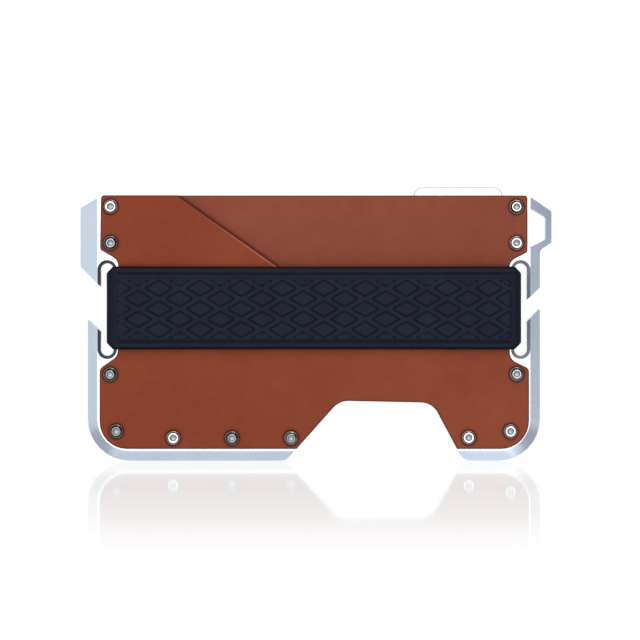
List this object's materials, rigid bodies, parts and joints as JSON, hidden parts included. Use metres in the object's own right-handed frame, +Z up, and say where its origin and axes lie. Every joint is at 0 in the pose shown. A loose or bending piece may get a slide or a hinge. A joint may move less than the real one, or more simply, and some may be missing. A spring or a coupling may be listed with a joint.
{
  "type": "minimalist wallet",
  "caption": "Slim card wallet: bevelled aluminium chassis with a card bay, thumb notch and lanyard loop, leather front with a quick-access pocket, silicone band and lift-out insert plate.",
  "frame": {"origin": "centre of the base of the bounding box, with the wallet standing on its bottom rim", "axes": "+X along the width towards the lanyard loop, +Y through the thickness from the leather front to the back plate, +Z up towards the mouth of the card bay"},
  "size_m": [0.1084, 0.0132, 0.063],
  "materials": {
    "aluminium": "satin, fine bead-blasted, light silver",
    "inner_leather": "smooth matt top-grain leather, reddish brown, dark burnished edge",
    "pocket_leather": "smooth matt top-grain leather, reddish brown, dark burnished edge",
    "silicone": "matt moulded silicone with a raised diamond lattice, navy black",
    "insert_steel": "satin stainless steel sheet",
    "screw_steel": "polished stainless steel"
  },
  "bodies": {
    "wallet": {"chassis": "aluminium", "inner_leather_panel": "inner_leather", "front_pocket_panel": "pocket_leather", "screw_left_top": "screw_steel", "screw_left_upper": "screw_steel", "screw_left_lower": "screw_steel", "screw_corner_left": "screw_steel", "screw_bottom_1": "screw_steel", "screw_bottom_2": "screw_steel", "screw_bottom_3": "screw_steel", "screw_bottom_4": "screw_steel", "screw_corner_right": "screw_steel", "screw_right_lower": "screw_steel", "screw_right_upper": "screw_steel", "screw_right_top": "screw_steel"},
    "band": {"silicone_band": "silicone"},
    "insert": {"insert_plate": "insert_steel"}
  },
  "joints": [
    {"name": "insert_plate_lift", "type": "slide", "parent": "wallet", "child": "insert", "axis": [0, 0, 1], "range_m": [0, 0.055]},
    {"name": "band_shift", "type": "slide", "parent": "wallet", "child": "band", "axis": [0, 0, 1], "range_m": [-0.0011, 0.0005]}
  ]
}
